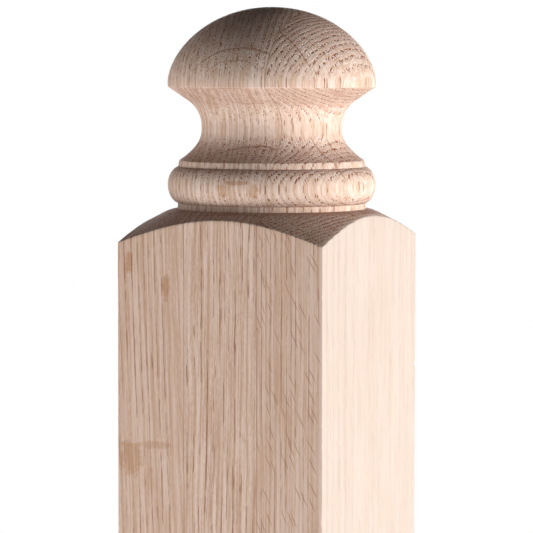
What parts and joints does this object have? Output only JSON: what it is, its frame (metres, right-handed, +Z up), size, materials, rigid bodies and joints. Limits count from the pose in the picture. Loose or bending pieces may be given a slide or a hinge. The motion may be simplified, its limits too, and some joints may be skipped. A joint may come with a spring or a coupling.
{
  "type": "newel post",
  "caption": "Square wooden newel post with a turned top: button cap, hollowed neck, half-round roll and a sloping shoulder that ends in an arch on each face.",
  "frame": {"origin": "middle of the flat foot, on the surface that the post stands on", "axes": "+Z up along the middle of the square post; +X and +Y square to two neighbouring flat faces; the turning's own axis stands 0.8 mm towards +X and 0.8 mm towards +Y of it"},
  "size_m": [0.0888, 0.0888, 1.2192],
  "materials": {
    "red_oak": "unfinished red oak, planed and turned, matt"
  },
  "bodies": {
    "root": {"post": "red_oak"}
  },
  "joints": []
}
